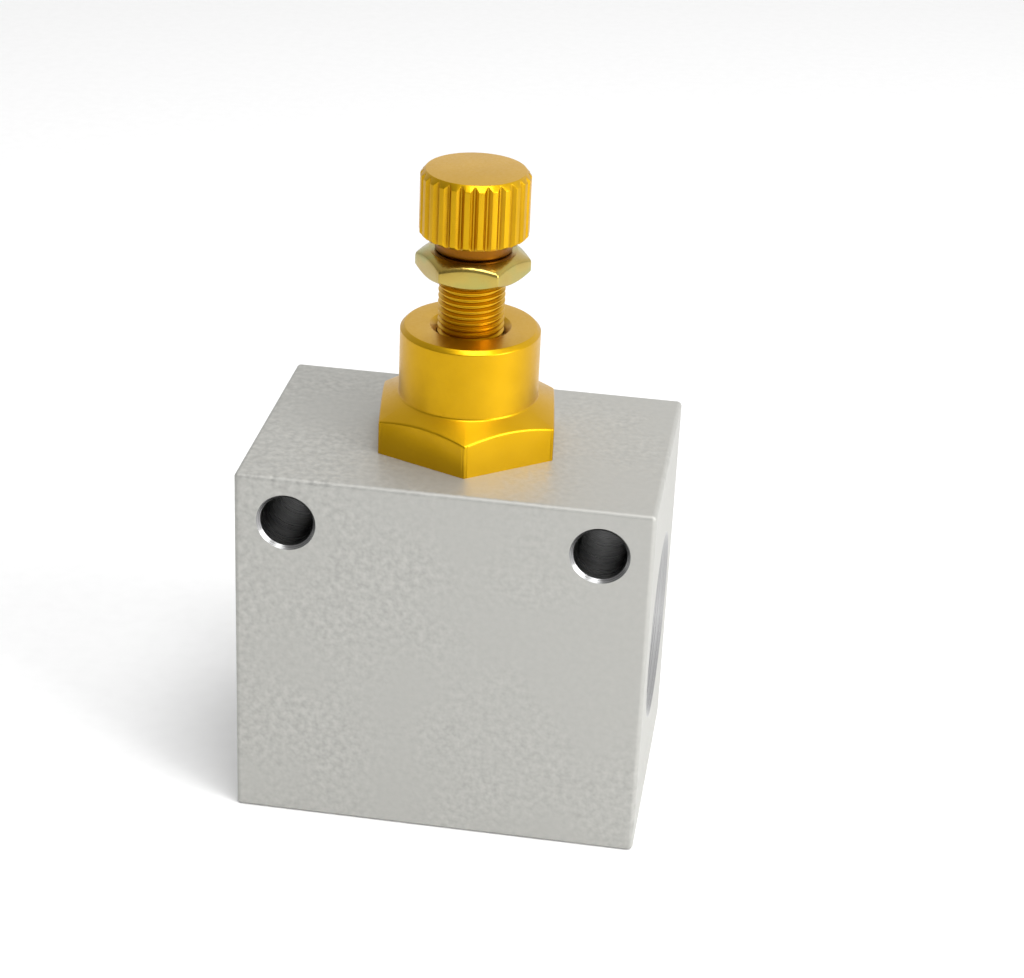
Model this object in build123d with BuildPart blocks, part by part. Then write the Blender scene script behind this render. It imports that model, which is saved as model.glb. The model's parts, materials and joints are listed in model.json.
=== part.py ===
from build123d import *
import os

# In-line one-way flow control valve.
# Frame: millimetres, +Z up, origin at the centre of the block's bottom face.
# X runs through the two ports, Y through the two mounting holes, Z through the spindle.

os.makedirs("parts", exist_ok=True)

# ---- Driving dimensions -------------------------------------------------------------------

# Block
body_width = 50.0
body_depth = 33.5
body_height = 46.3
body_edge_radius = 0.6

# G1/2 ports, one on each end of the block, on one axis
port_radius = 20.955 / 2
port_depth = 13.0
port_chamfer = 1.2
port_z = 22.9

# Mounting holes for M6 screws, right through the block from front to back
mount_hole_radius = 3.2
mount_hole_spacing = 37.4
mount_hole_z = body_height - 5.8
mount_hole_chamfer = 0.4

# Flow passages, milled from the port floors: low on the inlet side, high on the outlet side
passage_width = 12.5
passage_height = 6.5
passage_rise = 6.15
inlet_passage_z = port_z - passage_rise
outlet_passage_z = port_z + passage_rise

# Vertical bore
chamber_radius = 5.5
chamber_floor_z = 13.5
check_bore_radius = 8.0
seat_step_z = 21.2

# Bonnet
bonnet_thread_radius = 9.0
bonnet_thread_bottom_z = 38.5
bonnet_thread_relief = 1.0
hex_across_flats = 21.0
hex_height = 5.9
hex_corner_height = 4.1
hex_turn = 37.8
collar_radius = 8.45
collar_top_z = body_height + 14.7
collar_chamfer = 0.5
countersink_radius = 4.9
countersink_depth = 0.85
skirt_radius = 7.9
skirt_bottom_z = 35.2
seal_bore_radius = 5.0
seal_bore_top_z = 52.5
bonnet_seal_section = 0.78
bonnet_seal_depth = 1.6
bonnet_undercut_radius = 7.9

# Spindle, M8 x 0.75
thread_radius = 4.0
thread_pitch = 0.75
thread_depth = 0.46
thread_clearance = 0.05
running_clearance = 0.05
shoulder_bottom_z = 40.0
shoulder_top_z = 46.2
neck_radius = 3.35
neck_length = 1.2
spigot_radius = 3.0
spigot_length = 6.8
socket_radius = 2.55
socket_top_z = 45.2
ring_section = 0.63
ring_groove_width = 1.5
ring_groove_root = 3.7
lower_ring_z = 42.0
upper_ring_z = 44.4

# Lock nut
nut_across_flats = 12.0
nut_thickness = 3.3
nut_face_radius = 5.25
nut_turn = 34.1

# Knob
hub_radius = 4.6
hub_height = 1.9
hub_bottom_z = body_height + 24.4
knob_radius = 6.5
knob_top_z = body_height + 34.2
knob_top_chamfer_width = 0.6
knob_top_chamfer_height = 0.7
knob_bottom_chamfer = 0.3
flute_count = 25
flute_depth = 0.45
flute_width = 0.92
flute_turn = 4.4

# Needle
needle_radius = 3.35
needle_taper_top_z = 22.6
needle_tip_z = 16.0
needle_tip_radius = 1.3
needle_top_gap = 0.2
needle_shank_radius = 2.45
needle_neck_radius = 1.9

# Needle clip
clip_thickness = 0.5
clip_outer_radius = 2.85
clip_bottom_z = 41.0
clip_gap = 1.6

# Check poppet and its seat
orifice_radius = 3.4
orifice_top_z = 26.6
poppet_bottom_z = 23.0
poppet_spigot_radius = 4.3
poppet_flange_radius = 6.9
poppet_flange_bottom_z = 25.7
poppet_flange_top_z = 28.2
poppet_hub_radius = 4.9
poppet_hub_bore = 4.1
poppet_hub_top_z = 36.8
cross_hole_radius = 1.6
cross_hole_z = 30.5
seal_outer_radius = 6.8
seal_thickness = 1.5
retainer_radius = 5.0
retainer_thickness = 1.0
seat_bore_radius = 5.3
seat_lip_radius = 6.0
seat_lip_height = 0.78
seat_thickness = 2.2
seat_ring_groove_root = 6.9
seat_ring_groove_width = 1.2
seat_ring_section = 0.53
contact_gap = 0.02

# Check spring
spring_radius = 6.1
spring_wire_radius = 0.4
spring_turns = 4

# ---- Derived dimensions -------------------------------------------------------------------

hex_top_z = body_height + hex_height
hex_corner_radius = hex_across_flats / 3**0.5
bonnet_seal_floor_z = body_height - bonnet_seal_depth
bonnet_seal_radius = bonnet_undercut_radius + bonnet_seal_section + contact_gap
seal_pocket_radius = bonnet_seal_radius + bonnet_seal_section + contact_gap
spindle_bore_radius = thread_radius + thread_clearance
shoulder_radius = seal_bore_radius - running_clearance
spigot_top_z = hub_bottom_z + spigot_length
nut_top_z = hub_bottom_z - contact_gap
nut_bottom_z = nut_top_z - nut_thickness
knurl_bottom_z = hub_bottom_z + hub_height
seat_top_z = seat_step_z + seat_thickness
seal_bottom_z = poppet_flange_bottom_z - seal_thickness


# ---- Valve body ---------------------------------------------------------------------------

with BuildPart() as valve_body:
    with BuildSketch():
        Rectangle(body_width, body_depth)
    extrude(amount=body_height)
    fillet(valve_body.edges(), radius=body_edge_radius)

    # Stepped vertical bore: lower chamber, check bore, bonnet thread and seal pocket.
    with BuildSketch(Plane.XZ):
        with BuildLine():
            Polyline(
                (0, chamber_floor_z),
                (chamber_radius, chamber_floor_z),
                (chamber_radius, seat_step_z),
                (check_bore_radius, seat_step_z),
                (check_bore_radius, bonnet_thread_bottom_z - bonnet_thread_relief),
                (bonnet_thread_radius, bonnet_thread_bottom_z - bonnet_thread_relief),
                (bonnet_thread_radius, bonnet_seal_floor_z),
                (seal_pocket_radius, bonnet_seal_floor_z),
                (seal_pocket_radius, body_height),
                (0, body_height),
                close=True,
            )
        make_face()
    revolve(axis=Axis.Z, mode=Mode.SUBTRACT)

    # Each port is a blind bore whose floor opens into a milled passage to the vertical bore.
    for side, passage_z in ((-1, inlet_passage_z), (1, outlet_passage_z)):
        mouth = Plane(origin=(side * body_width / 2, 0, port_z), x_dir=(0, side, 0), z_dir=(side, 0, 0))
        with Locations(mouth):
            Hole(radius=port_radius, depth=port_depth)
        with BuildSketch(mouth.offset(-port_depth)):
            with Locations((0, passage_z - port_z)):
                SlotOverall(passage_width, passage_height)
        extrude(amount=chamber_radius / 2 - (body_width / 2 - port_depth), mode=Mode.SUBTRACT)
    circles_by_x = valve_body.edges().filter_by(GeomType.CIRCLE).group_by(Axis.X)
    chamfer(circles_by_x[0] + circles_by_x[-1], length=port_chamfer)

    # Mounting holes.
    front = Plane(origin=(0, -body_depth / 2, mount_hole_z), x_dir=(1, 0, 0), z_dir=(0, -1, 0))
    with Locations(front):
        with GridLocations(mount_hole_spacing, 0, 2, 1):
            Hole(radius=mount_hole_radius)
    circles_by_y = valve_body.edges().filter_by(GeomType.CIRCLE).group_by(Axis.Y)
    chamfer(circles_by_y[0] + circles_by_y[-1], length=mount_hole_chamfer)

valve_body.part.label = "valve_body"
export_step(valve_body.part, "parts/valve_body.step")


# ---- Bonnet -------------------------------------------------------------------------------

with BuildPart() as bonnet:
    with BuildSketch(Plane.XY.offset(body_height)):
        RegularPolygon(hex_across_flats / 2, side_count=6, major_radius=False, rotation=hex_turn)
    extrude(amount=hex_height)

    # The hexagon's top is turned to a cone that cuts its corners and meets the collar.
    with BuildSketch(Plane.XZ):
        with BuildLine():
            Polyline(
                (0, body_height),
                (hex_corner_radius, body_height),
                (hex_corner_radius, body_height + hex_corner_height),
                (collar_radius, hex_top_z),
                (0, hex_top_z),
                close=True,
            )
        make_face()
    revolve(axis=Axis.Z, mode=Mode.INTERSECT)

    # Collar above the hexagon, undercut, threaded shank and skirt below it.
    with BuildSketch(Plane.XZ):
        with BuildLine():
            Polyline(
                (0, skirt_bottom_z),
                (skirt_radius, skirt_bottom_z),
                (skirt_radius, bonnet_thread_bottom_z),
                (bonnet_thread_radius - contact_gap, bonnet_thread_bottom_z),
                (bonnet_thread_radius - contact_gap, bonnet_seal_floor_z),
                (bonnet_undercut_radius, bonnet_seal_floor_z),
                (bonnet_undercut_radius, body_height),
                (collar_radius, body_height),
                (collar_radius, collar_top_z - collar_chamfer),
                (collar_radius - collar_chamfer, collar_top_z),
                (0, collar_top_z),
                close=True,
            )
        make_face()
    revolve(axis=Axis.Z)

    # Seal bore from below, spindle thread above it, countersink at the top.
    with BuildSketch(Plane.XZ):
        with BuildLine():
            Polyline(
                (0, skirt_bottom_z),
                (seal_bore_radius, skirt_bottom_z),
                (seal_bore_radius, seal_bore_top_z),
                (spindle_bore_radius, seal_bore_top_z),
                (spindle_bore_radius, collar_top_z - countersink_depth),
                (countersink_radius, collar_top_z),
                (0, collar_top_z),
                close=True,
            )
        make_face()
    revolve(axis=Axis.Z, mode=Mode.SUBTRACT)

bonnet.part.label = "bonnet"
export_step(bonnet.part, "parts/bonnet.step")


# ---- O-rings ------------------------------------------------------------------------------

o_rings = {
    "bonnet_seal": (bonnet_seal_radius, body_height - bonnet_seal_depth / 2, bonnet_seal_section),
    "spindle_o_ring_lower": (ring_groove_root + ring_section + contact_gap, lower_ring_z, ring_section),
    "spindle_o_ring_upper": (ring_groove_root + ring_section + contact_gap, upper_ring_z, ring_section),
    "seat_o_ring": (
        seat_ring_groove_root + seat_ring_section + contact_gap,
        seat_step_z + seat_thickness / 2,
        seat_ring_section,
    ),
}
for ring_name, (ring_radius, ring_z, section_radius) in o_rings.items():
    with BuildPart() as o_ring:
        with BuildSketch(Plane.XZ):
            with Locations((ring_radius, ring_z)):
                Circle(section_radius)
        revolve(axis=Axis.Z)
    o_ring.part.label = ring_name
    export_step(o_ring.part, f"parts/{ring_name}.step")


# ---- Throttle spindle ---------------------------------------------------------------------

with BuildPart() as throttle_spindle:
    with BuildSketch(Plane.XZ):
        with BuildLine():
            Polyline(
                (0, shoulder_bottom_z),
                (shoulder_radius, shoulder_bottom_z),
                (shoulder_radius, shoulder_top_z),
                (neck_radius, shoulder_top_z),
                (neck_radius, shoulder_top_z + neck_length),
                (thread_radius, shoulder_top_z + neck_length + thread_depth),
                (thread_radius, hub_bottom_z),
                (spigot_radius, hub_bottom_z),
                (spigot_radius, spigot_top_z),
                (0, spigot_top_z),
                close=True,
            )
        make_face()
        # Two grooves for the O-rings.
        with Locations((shoulder_radius, lower_ring_z), (shoulder_radius, upper_ring_z)):
            Rectangle(
                2 * (shoulder_radius - ring_groove_root),
                ring_groove_width,
                mode=Mode.SUBTRACT,
            )
        # Thread form, one ring for each turn.
        first_turn_z = shoulder_top_z + neck_length + thread_depth + thread_pitch
        turn_count = int((hub_bottom_z - first_turn_z) / thread_pitch)
        with Locations(*[(thread_radius, first_turn_z + turn * thread_pitch) for turn in range(turn_count)]):
            Polygon(
                (0, 7 / 16 * thread_pitch),
                (-thread_depth, thread_pitch / 12),
                (-thread_depth, -thread_pitch / 12),
                (0, -7 / 16 * thread_pitch),
                align=None,
                mode=Mode.SUBTRACT,
            )
        # Needle socket, with the groove for the needle clip.
        with BuildLine():
            Polyline(
                (0, shoulder_bottom_z),
                (socket_radius, shoulder_bottom_z),
                (socket_radius, clip_bottom_z - contact_gap),
                (clip_outer_radius + contact_gap, clip_bottom_z - contact_gap),
                (clip_outer_radius + contact_gap, clip_bottom_z + clip_thickness + contact_gap),
                (socket_radius, clip_bottom_z + clip_thickness + contact_gap),
                (socket_radius, socket_top_z),
                (0, socket_top_z),
                close=True,
            )
        make_face(mode=Mode.SUBTRACT)
    revolve(axis=Axis.Z)

throttle_spindle.part.label = "throttle_spindle"
export_step(throttle_spindle.part, "parts/throttle_spindle.step")


# ---- Throttle needle ----------------------------------------------------------------------

head_bottom_z = clip_bottom_z + clip_thickness + contact_gap
with BuildPart() as throttle_needle:
    with BuildSketch(Plane.XZ):
        with BuildLine():
            Polyline(
                (0, needle_tip_z),
                (needle_tip_radius, needle_tip_z),
                (needle_radius, needle_taper_top_z),
                (needle_radius, shoulder_bottom_z - needle_top_gap),
                (needle_shank_radius, shoulder_bottom_z - needle_top_gap),
                (needle_shank_radius, clip_bottom_z - contact_gap),
                (needle_neck_radius, clip_bottom_z - contact_gap),
                (needle_neck_radius, head_bottom_z),
                (needle_shank_radius, head_bottom_z),
                (needle_shank_radius, socket_top_z - contact_gap),
                (0, socket_top_z - contact_gap),
                close=True,
            )
        make_face()
    revolve(axis=Axis.Z)
    chamfer(throttle_needle.edges().group_by(Axis.Z)[0], length=needle_tip_radius / 2)

throttle_needle.part.label = "throttle_needle"
export_step(throttle_needle.part, "parts/throttle_needle.step")


# ---- Needle clip --------------------------------------------------------------------------

with BuildPart() as needle_clip:
    with BuildSketch(Plane.XY.offset(clip_bottom_z)):
        Circle(clip_outer_radius)
        Circle(needle_neck_radius + 2 * running_clearance, mode=Mode.SUBTRACT)
        with Locations((clip_outer_radius, 0)):
            Rectangle(2 * clip_outer_radius, clip_gap, mode=Mode.SUBTRACT)
    extrude(amount=clip_thickness)

needle_clip.part.label = "needle_clip"
export_step(needle_clip.part, "parts/needle_clip.step")


# ---- Control knob -------------------------------------------------------------------------

with BuildPart() as control_knob:
    with BuildSketch(Plane.XY.offset(knurl_bottom_z)):
        Circle(knob_radius)
        # Straight flutes, V-shaped, evenly spaced.
        with PolarLocations(knob_radius, flute_count, start_angle=flute_turn):
            Polygon(
                (flute_depth * 0.2, flute_width * 0.6),
                (-flute_depth, flute_width * 0.12),
                (-flute_depth, -flute_width * 0.12),
                (flute_depth * 0.2, -flute_width * 0.6),
                align=None,
                mode=Mode.SUBTRACT,
            )
    extrude(amount=knob_top_z - knurl_bottom_z)

    # Both ends of the knurl are chamfered.
    with BuildSketch(Plane.XZ):
        with BuildLine():
            Polyline(
                (0, knurl_bottom_z),
                (knob_radius - knob_bottom_chamfer, knurl_bottom_z),
                (knob_radius, knurl_bottom_z + knob_bottom_chamfer),
                (knob_radius, knob_top_z - knob_top_chamfer_height),
                (knob_radius - knob_top_chamfer_width, knob_top_z),
                (0, knob_top_z),
                close=True,
            )
        make_face()
    revolve(axis=Axis.Z, mode=Mode.INTERSECT)

    # Hub, then the blind bore for the spindle's spigot.
    with BuildSketch(Plane.XY.offset(hub_bottom_z)):
        Circle(hub_radius)
    extrude(amount=hub_height)
    with BuildSketch(Plane.XY.offset(hub_bottom_z)):
        Circle(spigot_radius)
    extrude(amount=spigot_length, mode=Mode.SUBTRACT)

control_knob.part.label = "control_knob"
export_step(control_knob.part, "parts/control_knob.step")


# ---- Lock nut -----------------------------------------------------------------------------

nut_corner_radius = nut_across_flats / 3**0.5
nut_chamfer_height = (nut_corner_radius - nut_face_radius) / 3**0.5
with BuildPart() as lock_nut:
    with BuildSketch(Plane.XY.offset(nut_bottom_z)):
        RegularPolygon(nut_across_flats / 2, side_count=6, major_radius=False, rotation=nut_turn)
        Circle(spindle_bore_radius, mode=Mode.SUBTRACT)
    extrude(amount=nut_thickness)
    with BuildSketch(Plane.XZ):
        with BuildLine():
            Polyline(
                (0, nut_bottom_z),
                (nut_face_radius, nut_bottom_z),
                (nut_corner_radius, nut_bottom_z + nut_chamfer_height),
                (nut_corner_radius, nut_top_z - nut_chamfer_height),
                (nut_face_radius, nut_top_z),
                (0, nut_top_z),
                close=True,
            )
        make_face()
    revolve(axis=Axis.Z, mode=Mode.INTERSECT)

lock_nut.part.label = "lock_nut"
export_step(lock_nut.part, "parts/lock_nut.step")


# ---- Seat ring ----------------------------------------------------------------------------

with BuildPart() as seat_ring:
    with BuildSketch(Plane.XZ):
        with BuildLine():
            Polyline(
                (seat_bore_radius, seat_step_z),
                (check_bore_radius - contact_gap, seat_step_z),
                (check_bore_radius - contact_gap, seat_top_z),
                (seat_lip_radius + seat_lip_height / 2, seat_top_z),
                (seat_lip_radius, seat_top_z + seat_lip_height),
                (seat_bore_radius, seat_top_z + seat_lip_height),
                close=True,
            )
        make_face()
        with Locations((check_bore_radius, seat_step_z + seat_thickness / 2)):
            Rectangle(
                2 * (check_bore_radius - seat_ring_groove_root),
                seat_ring_groove_width,
                mode=Mode.SUBTRACT,
            )
    revolve(axis=Axis.Z)

seat_ring.part.label = "seat_ring"
export_step(seat_ring.part, "parts/seat_ring.step")


# ---- Check poppet -------------------------------------------------------------------------

with BuildPart() as check_poppet:
    with BuildSketch(Plane.XZ):
        with BuildLine():
            Polyline(
                (orifice_radius, poppet_bottom_z),
                (poppet_spigot_radius, poppet_bottom_z),
                (poppet_spigot_radius, poppet_flange_bottom_z),
                (poppet_flange_radius, poppet_flange_bottom_z),
                (poppet_flange_radius, poppet_flange_top_z),
                (poppet_hub_radius, poppet_flange_top_z),
                (poppet_hub_radius, poppet_hub_top_z),
                (poppet_hub_bore, poppet_hub_top_z),
                (poppet_hub_bore, orifice_top_z),
                (orifice_radius, orifice_top_z),
                close=True,
            )
        make_face()
    revolve(axis=Axis.Z)

    # Two crossed holes let air into the hub, above the orifice.
    for cross_plane in (Plane.XZ, Plane.YZ):
        with BuildSketch(cross_plane):
            with Locations((0, cross_hole_z)):
                Circle(cross_hole_radius)
        extrude(amount=poppet_flange_radius, both=True, mode=Mode.SUBTRACT)

check_poppet.part.label = "check_poppet"
export_step(check_poppet.part, "parts/check_poppet.step")


# ---- Check seal and its retainer ----------------------------------------------------------

with BuildPart() as check_seal:
    with BuildSketch(Plane.XY.offset(seal_bottom_z)):
        Circle(seal_outer_radius)
        Circle(poppet_spigot_radius, mode=Mode.SUBTRACT)
    extrude(amount=seal_thickness)

check_seal.part.label = "check_seal"
export_step(check_seal.part, "parts/check_seal.step")

with BuildPart() as seal_retainer:
    with BuildSketch(Plane.XY.offset(seal_bottom_z - retainer_thickness)):
        Circle(retainer_radius)
        Circle(poppet_spigot_radius, mode=Mode.SUBTRACT)
    extrude(amount=retainer_thickness)

seal_retainer.part.label = "seal_retainer"
export_step(seal_retainer.part, "parts/seal_retainer.step")


# ---- Check spring -------------------------------------------------------------------------

spring_bottom_z = poppet_flange_top_z + spring_wire_radius + contact_gap
spring_top_z = skirt_bottom_z - spring_wire_radius - contact_gap
with BuildPart() as check_spring:
    with BuildLine(Plane.XY.offset(spring_bottom_z)) as spring_path:
        Helix(
            pitch=(spring_top_z - spring_bottom_z) / spring_turns,
            height=spring_top_z - spring_bottom_z,
            radius=spring_radius,
        )
    with BuildSketch(Plane(origin=spring_path.line @ 0, z_dir=spring_path.line % 0)):
        Circle(spring_wire_radius)
    sweep(is_frenet=True)

check_spring.part.label = "check_spring"
export_step(check_spring.part, "parts/check_spring.step")
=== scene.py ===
# Looks of the in-line flow control valve. Metres, in the frame of the CAD model: +Z up, origin at
# the centre of the block's bottom face, the ports on X and the mounting holes on Y.

import json
import math

import bmesh
import bpy
from mathutils import Matrix, Vector


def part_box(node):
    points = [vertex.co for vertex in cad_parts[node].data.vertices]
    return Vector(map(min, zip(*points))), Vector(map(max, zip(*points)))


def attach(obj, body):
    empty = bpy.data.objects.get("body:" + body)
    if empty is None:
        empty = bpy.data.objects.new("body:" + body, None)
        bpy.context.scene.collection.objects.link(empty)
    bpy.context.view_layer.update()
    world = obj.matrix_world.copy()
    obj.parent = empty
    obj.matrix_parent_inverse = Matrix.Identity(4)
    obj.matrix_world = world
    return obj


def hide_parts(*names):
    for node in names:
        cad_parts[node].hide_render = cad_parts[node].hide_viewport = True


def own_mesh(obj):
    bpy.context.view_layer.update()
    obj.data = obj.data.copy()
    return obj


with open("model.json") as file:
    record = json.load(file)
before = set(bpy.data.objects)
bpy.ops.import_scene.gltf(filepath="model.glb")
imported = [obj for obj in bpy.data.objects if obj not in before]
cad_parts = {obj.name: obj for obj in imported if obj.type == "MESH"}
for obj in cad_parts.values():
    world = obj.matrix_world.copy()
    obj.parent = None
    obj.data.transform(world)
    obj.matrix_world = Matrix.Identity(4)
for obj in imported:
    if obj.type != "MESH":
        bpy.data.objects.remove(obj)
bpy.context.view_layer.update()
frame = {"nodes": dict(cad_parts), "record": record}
record = frame["record"]
scene = bpy.context.scene

MM = 0.001


# ---- Sizes --------------------------------------------------------------------------------

def mount(name):
    """The record's entry for one mount."""
    return next(entry for entry in record["mounts"] if entry["name"] == name)


body_low, body_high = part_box("valve_body")
bonnet_low, bonnet_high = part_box("bonnet")
spindle_low, spindle_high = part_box("throttle_spindle")
knob_low, knob_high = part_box("control_knob")
nut_low, nut_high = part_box("lock_nut")
spring_low, spring_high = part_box("check_spring")
seat_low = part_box("seat_ring")[0]

same_plane = 1e-6  # points closer than this to a plane lie on it
body_top = body_high.z
body_edge = 0.6 * MM

port_z = mount("port_right")["pos_m"][2]
port_major = mount("port_right")["dims"]["r_mm"] * MM
port_depth = 13.0 * MM
port_mouth = port_major + 1.2 * MM
port_pitch = 1.814 * MM
port_thread_depth = 1.162 * MM
port_foot_gap = 0.2 * MM
port_head_gap = 0.1 * MM
port_turns_past_mouth = 3

hole_radius = mount("mounting_holes")["dims"]["hole_r_mm"] * MM
hole_spacing = mount("mounting_holes")["dims"]["spacing_x_mm"] * MM
hole_z = mount("mounting_holes")["pos_m"][2]
hole_chamfer = 0.4 * MM

passage_width = 12.5 * MM
passage_height = 6.5 * MM
passage_rise = 6.15 * MM
passage_end_steps = 24
chamber_radius = 5.5 * MM
chamber_floor = 13.5 * MM
check_bore = 8.0 * MM

hex_flats = 21.0 * MM
hex_turn = math.radians(-82.2)
hex_height = 5.9 * MM
hex_corner_height = 4.1 * MM
hex_corner_rounding = 0.3 * MM
hex_top_rounding = 0.4 * MM
collar_radius = 8.45 * MM
collar_chamfer = 0.5 * MM
collar_edge_rounding = 0.2 * MM
collar_foot_rounding = 0.35 * MM
countersink_radius = 4.9 * MM
countersink_depth = 0.85 * MM
seal_bore = 5.0 * MM
seal_bore_top = 52.5 * MM
spindle_bore = 4.05 * MM
bonnet_thread = 8.98 * MM
bonnet_thread_gap = 0.02 * MM
bonnet_thread_bottom = 38.5 * MM
bonnet_undercut = 7.9 * MM
bonnet_seal_depth = 1.6 * MM
seal_pocket = 9.5 * MM
skirt_radius = 7.9 * MM

shoulder_top = 46.2 * MM
stem_pitch = 0.75 * MM
stem_crest = 4.0 * MM
stem_root = 3.54 * MM
stem_foot_gap = 0.1 * MM
stem_head_gap = 0.05 * MM
spigot_radius = 3.0 * MM
socket_radius = 2.55 * MM
socket_top = 45.2 * MM
ring_groove_root = 3.7 * MM
ring_groove_width = 1.5 * MM

hub_radius = 4.6 * MM
hub_height = 1.9 * MM
flute_count = 25
flute_depth = 0.45 * MM
flute_turn = math.radians(4.4)
flute_half_width = 0.3  # in flute pitches, as is the flank
flute_flank = 0.23
flute_softness = 0.06
flute_columns = 20
knob_top_chamfer_width = 0.6 * MM
knob_top_chamfer_height = 0.7 * MM
knob_bottom_chamfer = 0.3 * MM

nut_flats = 12.0 * MM
nut_turn = math.radians(-55.9)
nut_face_radius = 5.25 * MM
nut_corner_rounding = 0.3 * MM
nut_thread_chamfer = 0.4 * MM

spring_wire = 0.4 * MM
spring_turns = 5
spring_flat_turns = 0.75


# ---- Mesh helpers -------------------------------------------------------------------------

def softened(points, steps=3):
    """Profile with rounded corners, from (radius, height, corner radius) points.

    The first and last points stay as they are. The number of points out depends only on the
    corner radii being zero or not, so profiles at different angles can be joined up.
    """
    result = [points[0][:2]]
    for before, here, after in zip(points, points[1:], points[2:]):
        corner = Vector(here[:2])
        back = Vector(before[:2]) - corner
        ahead = Vector(after[:2]) - corner
        if here[2] == 0:
            result.append(here[:2])
            continue
        turn = back.angle(ahead)
        reach = min(here[2] / math.tan(turn / 2), 0.45 * back.length, 0.45 * ahead.length)
        start = corner + back.normalized() * reach
        end = corner + ahead.normalized() * reach
        for step in range(steps + 1):
            t = step / steps
            point = start * (1 - t) ** 2 + corner * 2 * t * (1 - t) + end * t**2
            result.append((point.x, point.y))
    result.append(points[-1][:2])
    return result


def hexagon_radius(angle, flats, turn, corner_rounding):
    """Distance from the axis to a hexagon's side, with slightly rounded corners."""
    from_corner = (angle - turn + math.pi / 6) % (math.pi / 3) - math.pi / 6
    side = flats / 2 / math.cos(math.pi / 6 - abs(from_corner))
    centre = (flats / 2 - corner_rounding) / math.cos(math.pi / 6)
    across = centre * math.sin(from_corner)
    if abs(across) >= corner_rounding:
        return side
    return min(side, centre * math.cos(from_corner) + math.sqrt(corner_rounding**2 - across**2))


def hexagon_angles(turn, per_side=20, near_corner=(0.3, 0.6, 0.9, 1.2, 1.5, 2.0)):
    """Angles around a hexagon, closer together at its corners."""
    angles = []
    for side in range(6):
        corner = turn + side * math.pi / 3
        angles += [corner + math.radians(step) for step in (0, *near_corner)]
        first, last = near_corner[-1] + 1, 60 - near_corner[-1] - 1
        between = [first + (last - first) * k / per_side for k in range(per_side + 1)]
        angles += [corner + math.radians(step) for step in between]
        angles += [corner + math.radians(60 - step) for step in reversed(near_corner)]
    return angles


def even_angles(count):
    """Angles at equal steps around a full turn."""
    return [2 * math.pi * k / count for k in range(count)]


def spun(profile_at, angles, closed):
    """Vertices and faces of a solid of revolution whose profile may depend on the angle.

    An open profile starts and ends on the axis. A closed one is a loop around a ring's section.
    """
    profiles = [profile_at(angle) for angle in angles]
    length = len(profiles[0])
    columns = len(angles)
    vertices, rings = [], []
    for row in range(length):
        radius = profiles[0][row][0]
        if not closed and row in (0, length - 1) and radius == 0:
            rings.append([len(vertices)] * columns)
            vertices.append((0, 0, profiles[0][row][1]))
            continue
        rings.append(list(range(len(vertices), len(vertices) + columns)))
        for angle, profile in zip(angles, profiles):
            radius, height = profile[row]
            vertices.append((radius * math.cos(angle), radius * math.sin(angle), height))
    pairs = list(zip(rings, rings[1:]))
    if closed:
        pairs.append((rings[-1], rings[0]))
    faces = []
    for lower, upper in pairs:
        for k in range(columns):
            n = (k + 1) % columns
            corners = [lower[k], lower[n], upper[n], upper[k]]
            faces.append([v for i, v in enumerate(corners) if v not in corners[:i]])
    return vertices, faces


def threaded(lower, upper, first, last, pitch, radius_at, columns=96, rows_per_turn=12):
    """Vertices and faces of a bar with a true helical thread between two plain turned ends.

    lower and upper are open profiles that start and end on the axis. radius_at(phase, turns, total)
    gives the radius at a phase of 0 to 1 within a turn; its first and last turn are plain.
    """
    vertices, faces = [], []
    angles = even_angles(columns)

    def ring(radius, height):
        start = len(vertices)
        if radius == 0:
            vertices.append((0, 0, height))
            return [start] * columns
        vertices.extend((radius * math.cos(a), radius * math.sin(a), height) for a in angles)
        return list(range(start, start + columns))

    def band(below, above):
        for k in range(columns):
            n = (k + 1) % columns
            corners = [below[k], below[n], above[n], above[k]]
            faces.append([v for i, v in enumerate(corners) if v not in corners[:i]])

    lower_rings = [ring(*point) for point in lower]
    for below, above in zip(lower_rings, lower_rings[1:]):
        band(below, above)
    row_count = int((last - first) / pitch * rows_per_turn) - rows_per_turn
    total = row_count / rows_per_turn + 1
    rows = []
    for row in range(row_count + 1):
        start = len(vertices)
        for k, angle in enumerate(angles):
            turns = row / rows_per_turn + k / columns
            radius = radius_at(row / rows_per_turn % 1, turns, total)
            height = first + pitch * turns
            vertices.append((radius * math.cos(angle), radius * math.sin(angle), height))
        rows.append(list(range(start, start + columns)))
    for below, above in zip(rows, rows[1:]):
        faces.extend([below[k], below[k + 1], above[k + 1], above[k]] for k in range(columns - 1))
    for row in range(row_count - rows_per_turn):
        shifted = row + rows_per_turn
        faces.append([rows[row][-1], rows[shifted][0], rows[shifted + 1][0], rows[row + 1][-1]])
    upper_rings = [ring(*point) for point in upper]
    for below, above in zip(upper_rings, upper_rings[1:]):
        band(below, above)
    foot, head = lower_rings[-1], upper_rings[0]
    faces.extend([foot[k], foot[k + 1], rows[0][k + 1], rows[0][k]] for k in range(columns - 1))
    first_seam = [rows[row][0] for row in range(rows_per_turn + 1)]
    faces.append([foot[-1], foot[0], *first_seam, rows[0][-1]])
    faces.extend([rows[-1][k], rows[-1][k + 1], head[k + 1], head[k]] for k in range(columns - 1))
    last_seam = [rows[row][-1] for row in range(row_count, row_count - rows_per_turn - 1, -1)]
    faces.append([rows[-1][0], head[0], head[-1], *last_seam])
    return vertices, faces


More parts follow.
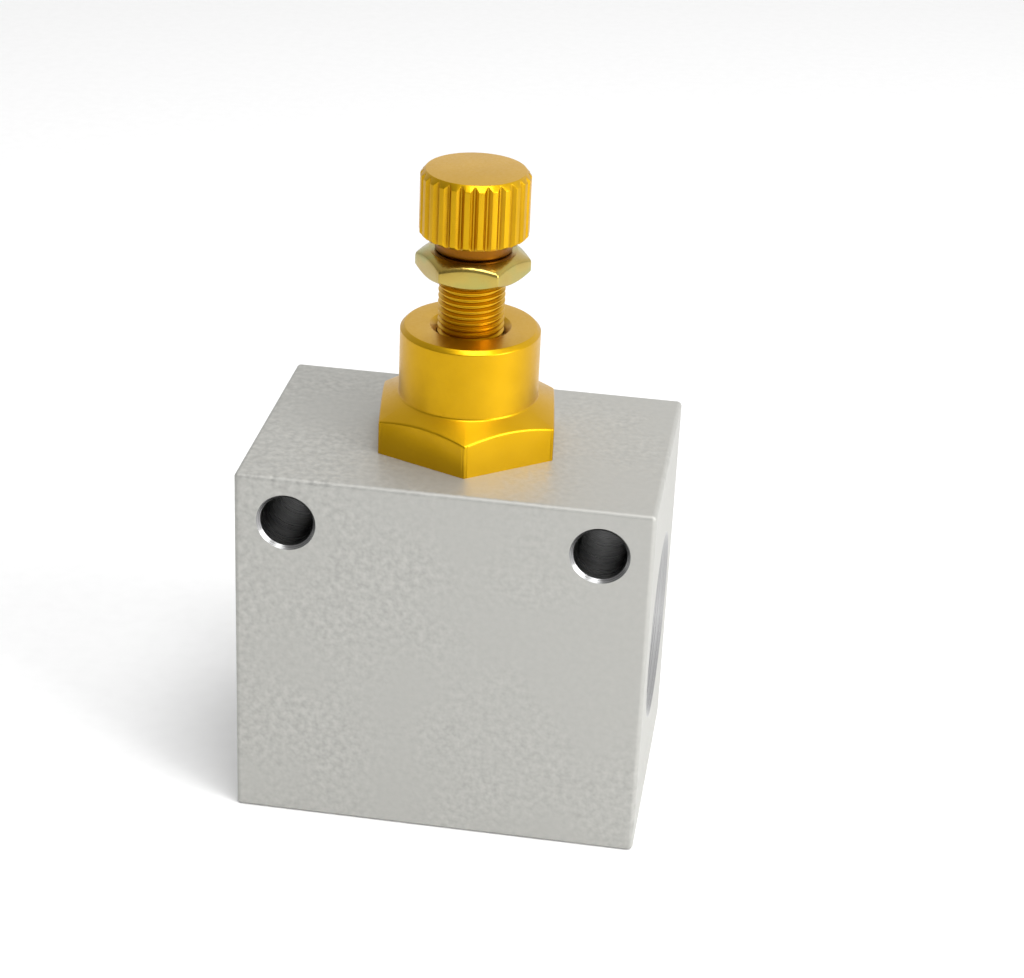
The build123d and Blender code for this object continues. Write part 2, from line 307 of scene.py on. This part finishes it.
def thread_form(crest, root, crest_flat=0.16, root_flat=0.2, softness=0.08, fade_turns=0.3):
    """Radius along a symmetric thread with softly rounded crests and roots, faded at both ends."""
    def radius_at(phase, turns, total):
        from_crest = abs((phase + 0.5) % 1 - 0.5) * 2
        slope = (from_crest - crest_flat) / (1 - crest_flat - root_flat)
        slope = min(max(slope, 0), 1)
        depth = slope + softness * math.sin(2 * math.pi * slope)
        fade_in = min(max((turns - 1) / fade_turns, 0), 1)
        fade_out = min(max((total - 1 - turns) / fade_turns, 0), 1)
        fade = min(fade_in, fade_out)
        return root + (crest - root) * (1 - depth) * fade
    return radius_at


def raw_object(name, vertices, faces):
    """An object with its faces turned outwards, not yet shaded or tied to a body."""
    mesh = bpy.data.meshes.new(name)
    mesh.from_pydata([Vector(v) for v in vertices], [], faces)
    work = bmesh.new()
    work.from_mesh(mesh)
    bmesh.ops.recalc_face_normals(work, faces=work.faces)
    work.to_mesh(mesh)
    work.free()
    piece = bpy.data.objects.new(name, mesh)
    scene.collection.objects.link(piece)
    return piece


def finish_piece(piece, body, node, material=None, sharp=32):
    """Shades a piece, adds a material if one is given, ties it to its CAD body and hides its CAD node.
    """
    piece.data.shade_smooth()
    piece.data.set_sharp_from_angle(angle=math.radians(sharp))
    if material is not None:
        piece.data.materials.append(material)
    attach(piece, body)
    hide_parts(node)


def cut(target, cutter):
    """Takes the cutter's solid out of the target's mesh, then removes the cutter."""
    difference = target.modifiers.new("cut", "BOOLEAN")
    difference.operation = "DIFFERENCE"
    difference.solver = "EXACT"
    difference.object = cutter
    depsgraph = bpy.context.evaluated_depsgraph_get()
    mesh = bpy.data.meshes.new_from_object(target.evaluated_get(depsgraph))
    target.modifiers.clear()
    old = target.data
    target.data = mesh
    bpy.data.meshes.remove(old)
    old_cutter = cutter.data
    bpy.data.objects.remove(cutter)
    bpy.data.meshes.remove(old_cutter)


def turned_cutter(name, points, matrix, columns=96):
    """A solid of revolution around +Z, moved into place by the matrix."""
    vertices, faces = spun(lambda angle: points, even_angles(columns), closed=False)
    return raw_object(name, [matrix @ Vector(v) for v in vertices], faces)


# ---- Material helpers ---------------------------------------------------------------------

def new_material(name):
    """A material with its nodes and links."""
    material = bpy.data.materials.new(name)
    material.use_nodes = True
    return material, material.node_tree.nodes, material.node_tree.links


def noise(nodes, links, vector, scale, detail=2.0, roughness=0.5):
    """Noise value; the scale is in cells a metre."""
    texture = nodes.new("ShaderNodeTexNoise")
    texture.inputs["Scale"].default_value = scale
    texture.inputs["Detail"].default_value = detail
    texture.inputs["Roughness"].default_value = roughness
    links.new(vector, texture.inputs["Vector"])
    return texture.outputs["Fac"]


def ramp(nodes, links, value, stops):
    """Colour ramp through (place, colour) stops; a plain number is a grey."""
    colours = nodes.new("ShaderNodeValToRGB")
    while len(colours.color_ramp.elements) < len(stops):
        colours.color_ramp.elements.new(0.5)
    for element, (place, colour) in zip(colours.color_ramp.elements, stops):
        element.position = place
        element.color = (*colour, 1) if isinstance(colour, tuple) else (colour, colour, colour, 1)
    links.new(value, colours.inputs["Fac"])
    return colours.outputs["Color"]


def bump(nodes, links, height, distance, strength, normal=None):
    """Normal bent by a height value, on top of another bump if one is given."""
    node = nodes.new("ShaderNodeBump")
    node.inputs["Distance"].default_value = distance
    node.inputs["Strength"].default_value = strength
    links.new(height, node.inputs["Height"])
    if normal is not None:
        links.new(normal, node.inputs["Normal"])
    return node.outputs["Normal"]


def position(nodes):
    """Coordinates of the piece itself, in metres."""
    return nodes.new("ShaderNodeTexCoord").outputs["Object"]


def turning_vector(nodes, links, axis="Z", centre=(0, 0, 0)):
    """Coordinates (distance from the axis, along the axis, 0), for marks left by turning."""
    shift = nodes.new("ShaderNodeVectorMath")
    shift.operation = "SUBTRACT"
    shift.inputs[1].default_value = centre
    links.new(position(nodes), shift.inputs[0])
    parts = nodes.new("ShaderNodeSeparateXYZ")
    links.new(shift.outputs[0], parts.inputs[0])
    flat = nodes.new("ShaderNodeCombineXYZ")
    for letter in "XYZ":
        if letter != axis:
            links.new(parts.outputs[letter], flat.inputs[letter])
    length = nodes.new("ShaderNodeVectorMath")
    length.operation = "LENGTH"
    links.new(flat.outputs[0], length.inputs[0])
    result = nodes.new("ShaderNodeCombineXYZ")
    links.new(length.outputs["Value"], result.inputs["X"])
    links.new(parts.outputs[axis], result.inputs["Y"])
    return result.outputs[0]


def blasted_aluminium():
    """Sandblasted, clear-anodised aluminium: matt grey, with a fine speckle that grows to the left."""
    material, nodes, links = new_material("blasted_aluminium")
    shader = nodes["Principled BSDF"]
    shader.inputs["Metallic"].default_value = 0.55
    leftward_gain = 5
    place = position(nodes)
    grain = noise(nodes, links, place, 1250, detail=1.5, roughness=0.55)
    parts = nodes.new("ShaderNodeSeparateXYZ")
    links.new(place, parts.inputs[0])
    leftward = nodes.new("ShaderNodeMath")
    leftward.operation = "MULTIPLY_ADD"
    leftward.inputs[1].default_value = -leftward_gain
    links.new(parts.outputs["X"], leftward.inputs[0])
    links.new(noise(nodes, links, place, 60, detail=2), leftward.inputs[2])
    patches = leftward.outputs[0]
    mix = nodes.new("ShaderNodeMix")
    mix.data_type = "FLOAT"
    mix.inputs["A"].default_value = 0.5
    links.new(ramp(nodes, links, patches, ((0.4, 0.2), (0.62, 1.0))), mix.inputs["Factor"])
    links.new(grain, mix.inputs["B"])
    speckle = mix.outputs["Result"]
    colour = ramp(nodes, links, speckle, ((0.3, (0.365, 0.363, 0.342)), (0.7, (0.485, 0.482, 0.455))))
    links.new(colour, shader.inputs["Base Color"])
    links.new(ramp(nodes, links, speckle, ((0.3, 0.48), (0.7, 0.62))), shader.inputs["Roughness"])
    links.new(bump(nodes, links, speckle, 0.1 * MM, 0.8), shader.inputs["Normal"])
    return material


def machined_aluminium(name, axis, centre, dark, light):
    """Machined aluminium with fine turning marks around an axis."""
    material, nodes, links = new_material(name)
    shader = nodes["Principled BSDF"]
    shader.inputs["Metallic"].default_value = 1.0
    marks = noise(nodes, links, turning_vector(nodes, links, axis, centre), 9000, detail=2)
    links.new(ramp(nodes, links, marks, ((0.3, dark), (0.7, light))), shader.inputs["Base Color"])
    links.new(ramp(nodes, links, marks, ((0.3, 0.22), (0.7, 0.36))), shader.inputs["Roughness"])
    links.new(bump(nodes, links, marks, 0.01 * MM, 0.5), shader.inputs["Normal"])
    return material


def gold_brass(name, recess_reach, unshaded_above, shaded_below=0.0):
    """Turned brass under a thin gold lacquer, with painted shade in recesses and below a height.

    recess_reach is how far a recess is looked for, and the next argument the openness from which
    no shade is painted; below the last argument's height, shade is painted too.
    """
    # Dark brown painted shade for recesses and below a height; the lacquer colours show elsewhere.
    painted_shade_colour = (0.24, 0.085, 0.001, 1)
    lacquer = ((0.3, (0.565, 0.315, 0.002)), (0.7, (0.625, 0.355, 0.005)))
    painted_shade_fade = 0.2 * MM
    material, nodes, links = new_material(name)
    shader = nodes["Principled BSDF"]
    shader.inputs["Metallic"].default_value = 1.0
    shader.inputs["Coat Weight"].default_value = 0.13
    shader.inputs["Coat Roughness"].default_value = 0.15
    marks = noise(nodes, links, turning_vector(nodes, links), 7000, detail=3, roughness=0.6)
    grain = noise(nodes, links, position(nodes), 2200, detail=3, roughness=0.7)
    cloud = noise(nodes, links, position(nodes), 160, detail=2)
    # Painted shade: ambient occlusion picks out the recesses, and a height ramp the part below.
    recess = nodes.new("ShaderNodeAmbientOcclusion")
    recess.samples = 8
    recess.inputs["Distance"].default_value = recess_reach
    shade_mix = nodes.new("ShaderNodeMix")
    shade_mix.data_type = "RGBA"
    shade_mix.inputs["A"].default_value = painted_shade_colour
    parts = nodes.new("ShaderNodeSeparateXYZ")
    links.new(position(nodes), parts.inputs[0])
    height = nodes.new("ShaderNodeMapRange")
    height.inputs["From Min"].default_value = shaded_below
    height.inputs["From Max"].default_value = shaded_below + painted_shade_fade
    links.new(parts.outputs["Z"], height.inputs["Value"])
    unshaded = nodes.new("ShaderNodeMath")
    unshaded.operation = "MULTIPLY"
    links.new(height.outputs["Result"], unshaded.inputs[0])
    openness = ramp(nodes, links, recess.outputs["AO"], ((0.2, 0.0), (unshaded_above, 1.0)))
    links.new(openness, unshaded.inputs[1])
    links.new(unshaded.outputs[0], shade_mix.inputs["Factor"])
    links.new(ramp(nodes, links, cloud, lacquer), shade_mix.inputs["B"])
    links.new(shade_mix.outputs["Result"], shader.inputs["Base Color"])
    links.new(ramp(nodes, links, grain, ((0.3, 0.3), (0.7, 0.42))), shader.inputs["Roughness"])
    turned = bump(nodes, links, marks, 0.012 * MM, 0.5)
    links.new(bump(nodes, links, grain, 0.01 * MM, 0.35, turned), shader.inputs["Normal"])
    return material


def yellow_zinc():
    """Steel with a yellow chromate film whose tint drifts from straw to green."""
    material, nodes, links = new_material("yellow_zinc")
    shader = nodes["Principled BSDF"]
    shader.inputs["Metallic"].default_value = 1.0
    shader.inputs["Coat Weight"].default_value = 0.4
    shader.inputs["Coat Roughness"].default_value = 0.15
    cloud = noise(nodes, links, position(nodes), 210, detail=2)
    grain = noise(nodes, links, position(nodes), 2500, detail=3, roughness=0.7)
    straw_to_green = (
        (0.3, (0.4, 0.27, 0.045)),
        (0.48, (0.43, 0.32, 0.065)),
        (0.6, (0.35, 0.32, 0.08)),
        (0.75, (0.42, 0.27, 0.055)),
    )
    links.new(ramp(nodes, links, cloud, straw_to_green), shader.inputs["Base Color"])
    links.new(ramp(nodes, links, grain, ((0.3, 0.18), (0.7, 0.28))), shader.inputs["Roughness"])
    links.new(bump(nodes, links, grain, 0.003 * MM, 0.4), shader.inputs["Normal"])
    return material


def turned_metal(name, dark, light, roughness):
    """Plain turned metal for the inner pieces."""
    material, nodes, links = new_material(name)
    shader = nodes["Principled BSDF"]
    shader.inputs["Metallic"].default_value = 1.0
    marks = noise(nodes, links, turning_vector(nodes, links), 7000, detail=2)
    links.new(ramp(nodes, links, marks, ((0.3, dark), (0.7, light))), shader.inputs["Base Color"])
    low, high = roughness
    links.new(ramp(nodes, links, marks, ((0.3, low), (0.7, high))), shader.inputs["Roughness"])
    links.new(bump(nodes, links, marks, 0.01 * MM, 0.5), shader.inputs["Normal"])
    return material


def nitrile():
    """Matt black rubber with a faint bloom."""
    material, nodes, links = new_material("nitrile")
    shader = nodes["Principled BSDF"]
    grain = noise(nodes, links, position(nodes), 1800, detail=3)
    links.new(ramp(nodes, links, grain, ((0.3, 0.012), (0.7, 0.03))), shader.inputs["Base Color"])
    links.new(ramp(nodes, links, grain, ((0.3, 0.5), (0.7, 0.7))), shader.inputs["Roughness"])
    links.new(bump(nodes, links, grain, 0.02 * MM, 0.4), shader.inputs["Normal"])
    return material


# Painted shade in thread roots and inner corners; on the knob, in the flutes and on the hub below the
# knurl.
gold = gold_brass("gold_brass", 0.6 * MM, 0.5)
knurled_gold = gold_brass("gold_brass_knurled", 2 * MM, 0.95, knob_low.z + hub_height - 0.1 * MM)
zinc = yellow_zinc()
plain_brass = turned_metal("plain_brass", (0.6, 0.42, 0.16), (0.74, 0.55, 0.24), (0.25, 0.4))
steel = turned_metal("ground_steel", (0.45, 0.45, 0.45), (0.6, 0.6, 0.6), (0.2, 0.35))
wire_steel = turned_metal("spring_wire", (0.3, 0.3, 0.31), (0.45, 0.45, 0.46), (0.25, 0.4))
rubber = nitrile()


# ---- Valve body ---------------------------------------------------------------------------

def along_x(side):
    """Turns +Z to +X or -X and moves the origin to that port's mouth."""
    turn = Matrix.Rotation(side * math.pi / 2, 4, "Y")
    return Matrix.Translation((side * body_high.x, 0, port_z)) @ turn


def slot_solid(name, side, centre_z):
    """A passage: a bar with rounded ends, from the port's floor to the chamber."""
    outline = []
    radius = passage_height / 2
    straight = passage_width / 2 - radius
    for end in (1, -1):
        for k in range(passage_end_steps + 1):
            angle = math.pi * (k / passage_end_steps - end / 2)
            outline.append((end * straight + radius * math.cos(angle), radius * math.sin(angle)))
    outer = side * (body_high.x - port_depth + MM / 2)
    inner = side * chamber_radius / 2
    vertices = [(x, y, centre_z + z) for x in (outer, inner) for y, z in outline]
    count = len(outline)
    faces = [[k, (k + 1) % count, count + (k + 1) % count, count + k] for k in range(count)]
    faces += [list(range(count))[::-1], list(range(count, 2 * count))]
    return raw_object(name, vertices, faces)


def make_block():
    """The block with rounded edges, its stepped bore, tapped ports, passages and cross holes."""
    work = bmesh.new()
    bmesh.ops.create_cube(work, size=1)
    size = body_high - body_low
    bmesh.ops.scale(work, vec=size, verts=work.verts)
    bmesh.ops.translate(work, vec=(body_high + body_low) / 2, verts=work.verts)
    bmesh.ops.bevel(work, geom=work.edges[:], offset=body_edge, segments=6, profile=0.5, affect="EDGES")
    mesh = bpy.data.meshes.new("valve_block")
    work.to_mesh(mesh)
    work.free()
    block = bpy.data.objects.new("valve_block", mesh)
    scene.collection.objects.link(block)

    bore = [
        (0, chamber_floor),
        (chamber_radius, chamber_floor),
        (chamber_radius, seat_low.z),
        (check_bore, seat_low.z),
        (check_bore, bonnet_thread_bottom - MM),
        (bonnet_thread + bonnet_thread_gap, bonnet_thread_bottom - MM),
        (bonnet_thread + bonnet_thread_gap, body_top - bonnet_seal_depth),
        (seal_pocket, body_top - bonnet_seal_depth),
        (seal_pocket, body_top + MM),
        (0, body_top + MM),
    ]
    cut(block, turned_cutter("bore_cutter", bore, Matrix.Identity(4)))

    port_minor = port_major - port_thread_depth
    form = thread_form(port_major, port_minor)
    tap_top = port_turns_past_mouth * port_pitch
    for side, centre_z in ((-1, port_z - passage_rise), (1, port_z + passage_rise)):
        vertices, faces = threaded(
            [(0, -port_depth), (port_minor, -port_depth)],
            [(port_minor, tap_top), (0, tap_top)],
            -port_depth + port_foot_gap,
            tap_top - port_head_gap,
            port_pitch,
            form,
        )
        tap = raw_object("tap_cutter", [along_x(side) @ Vector(v) for v in vertices], faces)
        cut(block, tap)
        mouth = [
            (0, port_minor - port_mouth),
            (port_minor - 0.05 * MM, port_minor - port_mouth - 0.05 * MM),
            (port_mouth, 0),
            (port_mouth + MM, MM),
            (0, MM),
        ]
        cut(block, turned_cutter("mouth_cutter", mouth, along_x(side)))
        cut(block, slot_solid("passage_cutter", side, centre_z))

    half_depth = body_high.y
    rim = hole_radius + hole_chamfer
    hole = [
        (0, -half_depth - MM),
        (rim + MM, -half_depth - MM),
        (rim, -half_depth),
        (hole_radius, -half_depth + hole_chamfer),
        (hole_radius, half_depth - hole_chamfer),
        (rim, half_depth),
        (rim + MM, half_depth + MM),
        (0, half_depth + MM),
    ]
    for side in (-1, 1):
        along_y = Matrix.Rotation(math.pi / 2, 4, "X")
        place = Matrix.Translation((side * hole_spacing / 2, 0, hole_z)) @ along_y
        cut(block, turned_cutter("hole_cutter", hole, place, columns=64))

    blasted, tapped, drilled_right, drilled_left = range(4)
    # The ports and cross holes have a real machined finish with turning marks, but their dark tone is
    # painted shade.
    finishes = [
        blasted_aluminium(),
        machined_aluminium("tapped_aluminium_painted_shade", "X", (0, 0, port_z), 0.3, 0.42),
        machined_aluminium("drilled_aluminium_painted_shade_right", "Y", (hole_spacing / 2, 0, hole_z), 0.22, 0.34),
        machined_aluminium("drilled_aluminium_painted_shade_left", "Y", (-hole_spacing / 2, 0, hole_z), 0.22, 0.34),
    ]
    for finish in finishes:
        block.data.materials.append(finish)
    for face in block.data.polygons:
        centre = face.center
        from_port = math.hypot(centre.y, centre.z - port_z)
        from_hole = math.hypot(abs(centre.x) - hole_spacing / 2, centre.z - hole_z)
        in_bore = from_port < port_mouth or math.hypot(centre.x, centre.y) < seal_pocket + same_plane
        within_x = abs(centre.x) < body_high.x - same_plane
        within_y = abs(centre.y) < body_high.y - 2 * MM
        within_z = body_low.z + MM < centre.z < body_top - same_plane
        if from_hole < rim + same_plane and abs(centre.y) < body_high.y - same_plane:
            face.material_index = drilled_right if centre.x > 0 else drilled_left
        elif in_bore and within_x and within_y and within_z:
            face.material_index = tapped
        else:
            face.material_index = blasted
    finish_piece(block, "housing", "valve_body")
    weighted = block.modifiers.new("weighted_normals", "WEIGHTED_NORMAL")
    weighted.keep_sharp = True


make_block()


# ---- Bonnet -------------------------------------------------------------------------------

def bonnet_profile(angle):
    """Section of the bonnet at an angle: bore, collar, hexagon and screwed shank."""
    side = hexagon_radius(angle, hex_flats, hex_turn, hex_corner_rounding)
    corner = hex_flats / math.sqrt(3)
    slope = (hex_height - hex_corner_height) / (corner - collar_radius)
    side_top = body_top + hex_height - (side - collar_radius) * slope
    top = bonnet_high.z
    return softened(
        [
            (seal_bore, bonnet_low.z, 0),
            (seal_bore, seal_bore_top, 0),
            (spindle_bore, seal_bore_top, 0),
            (spindle_bore, top - countersink_depth, 0.1 * MM),
            (countersink_radius, top, 0.12 * MM),
            (collar_radius - collar_chamfer, top, collar_edge_rounding),
            (collar_radius, top - collar_chamfer, collar_edge_rounding),
            (collar_radius, body_top + hex_height, collar_foot_rounding),
            (side, side_top, hex_top_rounding),
            (side, body_top, 0),
            (bonnet_undercut, body_top, 0),
            (bonnet_undercut, body_top - bonnet_seal_depth, 0),
            (bonnet_thread, body_top - bonnet_seal_depth, 0),
            (bonnet_thread, bonnet_thread_bottom, 0),
            (skirt_radius, bonnet_thread_bottom, 0),
            (skirt_radius, bonnet_low.z, 0),
        ]
    )


vertices, faces = spun(bonnet_profile, hexagon_angles(hex_turn), closed=True)
finish_piece(raw_object("bonnet_turned", vertices, faces), "housing", "bonnet", gold)


# ---- Spindle with its thread --------------------------------------------------------------

def spindle_ends():
    """Profiles below and above the thread: the shoulder with its two grooves, and the spigot."""
    shoulder = spindle_high.x
    lower = [
        (0, socket_top),
        (socket_radius, socket_top),
        (socket_radius, spindle_low.z),
        (shoulder, spindle_low.z),
    ]
    for place in ("lower", "upper"):
        centre = sum(corner.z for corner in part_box(f"spindle_o_ring_{place}")) / 2
        lower += [
            (shoulder, centre - ring_groove_width / 2),
            (ring_groove_root, centre - ring_groove_width / 2),
            (ring_groove_root, centre + ring_groove_width / 2),
            (shoulder, centre + ring_groove_width / 2),
        ]
    lower += [(shoulder, shoulder_top), (stem_root, shoulder_top)]
    upper = [
        (stem_root, knob_low.z),
        (spigot_radius, knob_low.z),
        (spigot_radius, spindle_high.z),
        (0, spindle_high.z),
    ]
    return lower, upper


lower_end, upper_end = spindle_ends()
vertices, faces = threaded(
    lower_end,
    upper_end,
    shoulder_top + stem_foot_gap,
    knob_low.z - stem_head_gap,
    stem_pitch,
    thread_form(stem_crest, stem_root),
)
threaded_spindle = raw_object("threaded_spindle", vertices, faces)
finish_piece(threaded_spindle, "spindle", "throttle_spindle", gold, sharp=50)


# ---- Knob ---------------------------------------------------------------------------------

def knob_profile(angle):
    """Section of the knob at an angle: blind bore, hub, and the outside between or in the flutes."""
    outer = knob_high.x
    phase = ((angle - flute_turn) * flute_count / (2 * math.pi) + 0.5) % 1 - 0.5
    groove = min(max((flute_half_width - abs(phase)) / flute_flank, 0), 1)
    side = outer - flute_depth * (groove + flute_softness * math.sin(2 * math.pi * groove))
    knurl_low = knob_low.z + hub_height
    top_slope = knob_top_chamfer_height / knob_top_chamfer_width
    top_edge = knob_high.z - (side - (outer - knob_top_chamfer_width)) * top_slope
    low_edge = knurl_low + max(side - (outer - knob_bottom_chamfer), 0)
    low_radius = min(side, outer - knob_bottom_chamfer)
    return softened(
        [
            (0, spindle_high.z, 0),
            (spigot_radius, spindle_high.z, 0),
            (spigot_radius, knob_low.z, 0),
            (hub_radius, knob_low.z, 0.3 * MM),
            (hub_radius, knurl_low, 0.15 * MM),
            (low_radius, knurl_low, 0),
            (side, low_edge, 0),
            (side, top_edge, 0.12 * MM),
            (outer - knob_top_chamfer_width, knob_high.z, 0.1 * MM),
            (0, knob_high.z, 0),
        ]
    )


vertices, faces = spun(knob_profile, even_angles(flute_count * flute_columns), closed=False)
fluted_knob = raw_object("fluted_knob", vertices, faces)
finish_piece(fluted_knob, "spindle", "control_knob", knurled_gold, sharp=38)


# ---- Lock nut -----------------------------------------------------------------------------

def nut_profile(angle):
    """Section of the nut at an angle: the 30 degree chamfers cut lower where a corner stands out."""
    side = hexagon_radius(angle, nut_flats, nut_turn, nut_corner_rounding)
    drop = max(side - nut_face_radius, 0) / math.sqrt(3)
    low, high = nut_low.z, nut_high.z
    return softened(
        [
            (spindle_bore, low + nut_thread_chamfer, 0),
            (spindle_bore, high - nut_thread_chamfer, 0),
            (spindle_bore + nut_thread_chamfer, high, 0.08 * MM),
            (nut_face_radius, high, 0.25 * MM),
            (side, high - drop, 0.65 * MM),
            (side, low + drop, 0.2 * MM),
            (nut_face_radius, low, 0.12 * MM),
            (spindle_bore + nut_thread_chamfer, low, 0),
        ]
    )


vertices, faces = spun(nut_profile, hexagon_angles(nut_turn), closed=True)
finish_piece(raw_object("lock_nut_turned", vertices, faces), "nut", "lock_nut", zinc)


# ---- Check spring -------------------------------------------------------------------------

def make_spring():
    """Wire on a helix whose first and last coils lie flat."""
    low, high = spring_low.z + spring_wire, spring_high.z - spring_wire
    radius = spring_high.x - spring_wire
    steps, around = 48 * spring_turns, 12
    vertices, faces = [], []
    upward = Vector((0, 0, 1))
    for step in range(steps + 1):
        turns = spring_turns * step / steps
        rise = min(max((turns - spring_flat_turns) / (spring_turns - 2 * spring_flat_turns), 0), 1)
        angle = 2 * math.pi * turns
        centre = Vector((radius * math.cos(angle), radius * math.sin(angle), low + (high - low) * rise))
        outward = Vector((math.cos(angle), math.sin(angle), 0))
        for k in range(around):
            turn = 2 * math.pi * k / around
            offset = outward * math.cos(turn) + upward * math.sin(turn)
            vertices.append(centre + offset * spring_wire)
    for step in range(steps):
        for k in range(around):
            n = (k + 1) % around
            a, b = step * around, (step + 1) * around
            faces.append([a + k, a + n, b + n, b + k])
    faces.append(list(range(around)))
    faces.append(list(range(steps * around, (steps + 1) * around)))
    spring = raw_object("check_spring_wire", vertices, faces)
    finish_piece(spring, "housing", "check_spring", wire_steel, sharp=60)
    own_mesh(spring)


make_spring()


# ---- Materials of the CAD pieces that stay ------------------------------------------------

carried_over = {
    "bonnet_seal": rubber,
    "spindle_o_ring_lower": rubber,
    "spindle_o_ring_upper": rubber,
    "seat_o_ring": rubber,
    "check_seal": rubber,
    "throttle_needle": steel,
    "needle_clip": wire_steel,
    "check_poppet": plain_brass,
    "seal_retainer": plain_brass,
    "seat_ring": plain_brass,
}
for node_name, material in carried_over.items():
    node = frame["nodes"][node_name]
    node.data.materials.clear()
    node.data.materials.append(material)


# ---- Floor, light and camera --------------------------------------------------------------

def make_floor():
    """A wide sheet of pale paper under the valve."""
    mesh = bpy.data.meshes.new("floor")
    reach = 6.0
    corners = [(-reach, -reach, 0), (reach, -reach, 0), (reach, reach, 0), (-reach, reach, 0)]
    mesh.from_pydata(corners, [], [(0, 1, 2, 3)])
    floor = bpy.data.objects.new("floor", mesh)
    scene.collection.objects.link(floor)
    material, nodes, links = new_material("floor_paper")
    shader = nodes["Principled BSDF"]
    grain = noise(nodes, links, position(nodes), 400, detail=2)
    links.new(ramp(nodes, links, grain, ((0.3, 0.93), (0.7, 0.95))), shader.inputs["Base Color"])
    shader.inputs["Roughness"].default_value = 0.9
    mesh.materials.append(material)


def area_light(name, place, size, power):
    """A soft box aimed at the foot of the bonnet."""
    aim = Vector((0, 0, 0.05))
    light = bpy.data.lights.new(name, "AREA")
    light.shape = "RECTANGLE"
    light.size, light.size_y = size
    light.energy = power
    lamp = bpy.data.objects.new(name, light)
    lamp.location = place
    lamp.rotation_euler = (aim - Vector(place)).to_track_quat("-Z", "Y").to_euler()
    scene.collection.objects.link(lamp)


make_floor()
area_light("key_right", place=(0.5, -0.25, 0.29), size=(0.3, 0.42), power=2.8)
area_light("overhead", place=(0.1, -0.21, 0.6), size=(0.3, 0.3), power=1.85)


def make_world():
    """Soft studio: bright behind and on the right, darker towards the front left, plain when seen."""
    bright_side = (0.6, 0.8, 0.0)
    plain_white = 0.85
    world = bpy.data.worlds.new("studio")
    scene.world = world
    world.use_nodes = True
    nodes, links = world.node_tree.nodes, world.node_tree.links
    toward = nodes.new("ShaderNodeVectorMath")
    toward.operation = "DOT_PRODUCT"
    toward.inputs[1].default_value = bright_side
    links.new(nodes.new("ShaderNodeTexCoord").outputs["Generated"], toward.inputs[0])
    strength = nodes.new("ShaderNodeMapRange")
    strength.inputs["From Min"].default_value = -1.0
    strength.inputs["From Max"].default_value = 0.7
    strength.inputs["To Min"].default_value = 0.23
    strength.inputs["To Max"].default_value = 1.06
    links.new(toward.outputs["Value"], strength.inputs["Value"])
    seen = nodes.new("ShaderNodeMix")
    seen.data_type = "FLOAT"
    seen.inputs["B"].default_value = plain_white
    links.new(nodes.new("ShaderNodeLightPath").outputs["Is Camera Ray"], seen.inputs["Factor"])
    links.new(strength.outputs["Result"], seen.inputs["A"])
    background = nodes["Background"]
    background.inputs["Color"].default_value = (1, 1, 1, 1)
    links.new(seen.outputs["Result"], background.inputs["Strength"])


make_world()
scene.view_settings.view_transform = "Standard"

camera_azimuth = math.radians(7.75)
camera_elevation = math.radians(26.31)
camera_roll = math.radians(2.46)
camera_place = Vector((40.32, -266.36, 173.06)) * MM
camera_lens = 85.6
camera_shift = (0.014, -0.005)

back = Vector(
    (
        math.sin(camera_azimuth) * math.cos(camera_elevation),
        -math.cos(camera_azimuth) * math.cos(camera_elevation),
        math.sin(camera_elevation),
    )
)
right = (-back).cross(Vector((0, 0, 1))).normalized()
up = right.cross(-back)
rolled_right = right * math.cos(camera_roll) + up * math.sin(camera_roll)
rolled_up = up * math.cos(camera_roll) - right * math.sin(camera_roll)

camera_data = bpy.data.cameras.new("camera")
camera_data.lens = camera_lens
camera_data.shift_x, camera_data.shift_y = camera_shift
camera_data.clip_start = 0.01
camera = bpy.data.objects.new("camera", camera_data)
axes = Matrix((rolled_right, rolled_up, back)).transposed().to_4x4()
camera.matrix_world = Matrix.Translation(camera_place) @ axes
scene.collection.objects.link(camera)
scene.camera = camera
